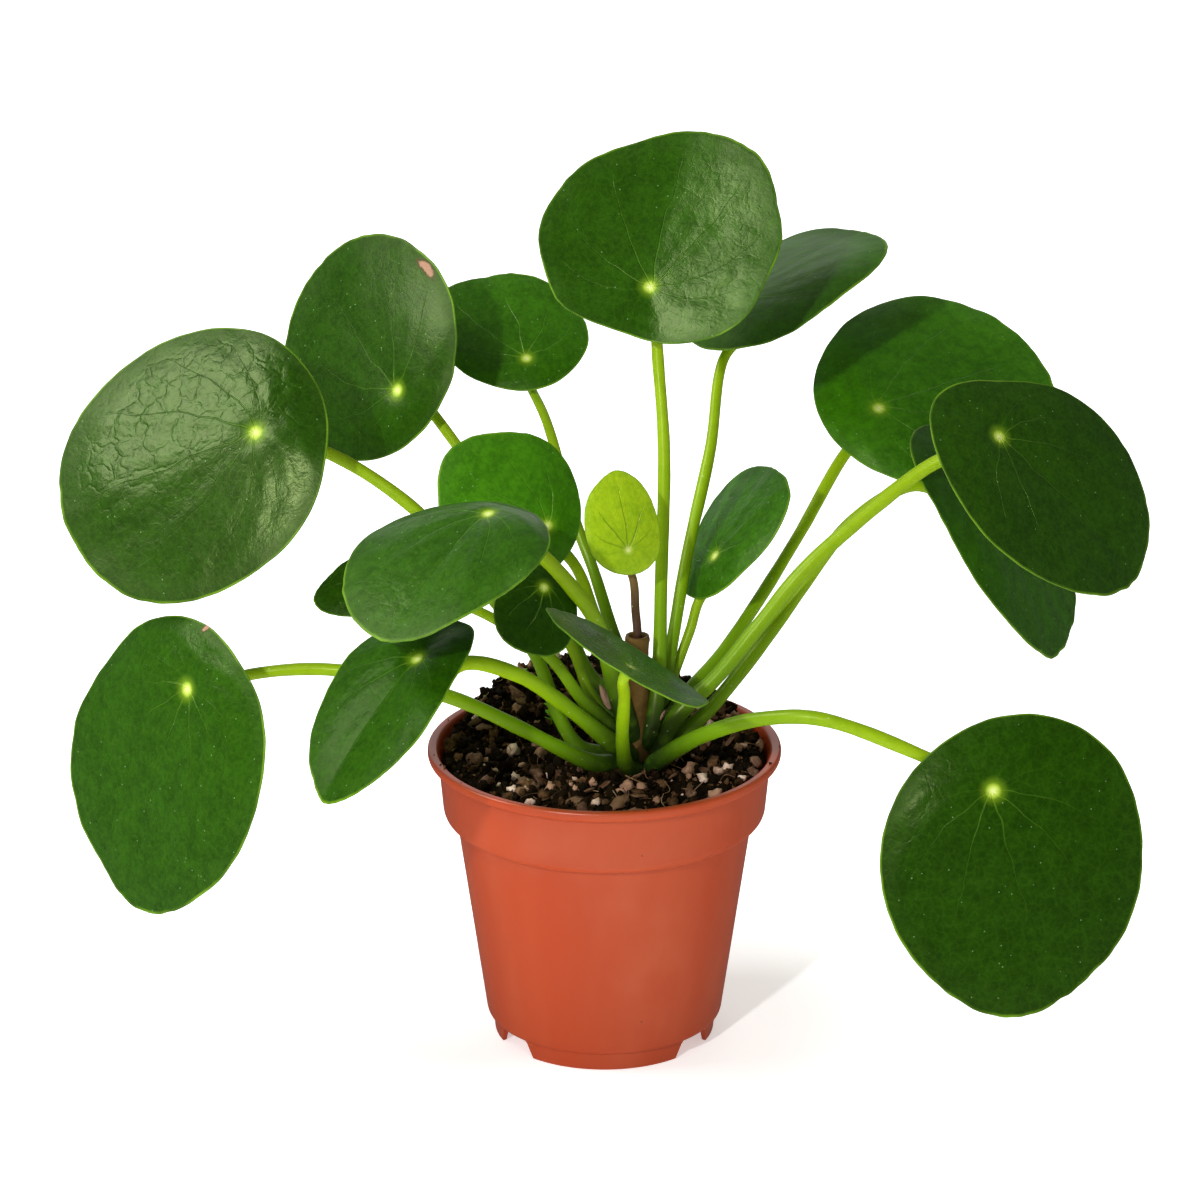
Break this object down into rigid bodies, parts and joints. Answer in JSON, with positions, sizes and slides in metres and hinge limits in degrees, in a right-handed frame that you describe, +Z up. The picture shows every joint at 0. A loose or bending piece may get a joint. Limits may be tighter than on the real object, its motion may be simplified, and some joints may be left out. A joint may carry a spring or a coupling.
{
  "type": "potted pilea plant",
  "caption": "Round-leaved pilea plant on a short stem with long arching stalks, standing in soil in a plastic nursery pot.",
  "frame": {"origin": "middle of the whole plant's footprint, on the ground that the pot stands on; the pot's own axis is 0.1 mm towards -X and 10.2 mm towards -Y of it", "axes": "+X along the plant's widest spread, to the right seen from the front; +Y away from the front, along its shallowest spread; +Z up"},
  "size_m": [0.368, 0.2386, 0.3014],
  "materials": {
    "terracotta_plastic": "satin",
    "soil": "matte",
    "bark": "matte",
    "leaf": "satin",
    "young_leaf": "satin",
    "stalk": "satin",
    "young_stalk": "satin",
    "dry_scale": "matte",
    "weed": "matte"
  },
  "bodies": {
    "root": {"pot": "terracotta_plastic", "potting_soil": "soil", "main_stem": "bark", "blade_centre_left_round": "leaf", "blade_centre_right_small": "leaf", "blade_far_left_low": "leaf", "blade_far_left_upper": "leaf", "blade_front_edge_on": "leaf", "blade_front_left_large": "leaf", "blade_front_left_low": "leaf", "blade_left_centre_back": "leaf", "blade_left_shaded": "leaf", "blade_left_small_hidden": "leaf", "blade_left_upper_back": "leaf", "blade_right_low": "leaf", "blade_right_middle": "leaf", "blade_right_upper": "leaf", "blade_right_upper_back": "leaf", "blade_top": "leaf", "blade_top_back": "leaf", "blade_youngest": "young_leaf", "dry_scale_1": "dry_scale", "dry_scale_2": "dry_scale", "stalk_centre_left_round": "stalk", "stalk_centre_right_small": "stalk", "stalk_far_left_low": "stalk", "stalk_far_left_upper": "stalk", "stalk_front_edge_on": "stalk", "stalk_front_left_large": "stalk", "stalk_front_left_low": "stalk", "stalk_left_centre_back": "stalk", "stalk_left_shaded": "stalk", "stalk_left_small_hidden": "stalk", "stalk_left_upper_back": "stalk", "stalk_right_low": "stalk", "stalk_right_middle": "stalk", "stalk_right_upper": "stalk", "stalk_right_upper_back": "stalk", "stalk_top": "stalk", "stalk_top_back": "stalk", "stalk_youngest": "young_stalk", "weed_seedling_1": "weed", "weed_seedling_2": "weed"}
  },
  "joints": []
}
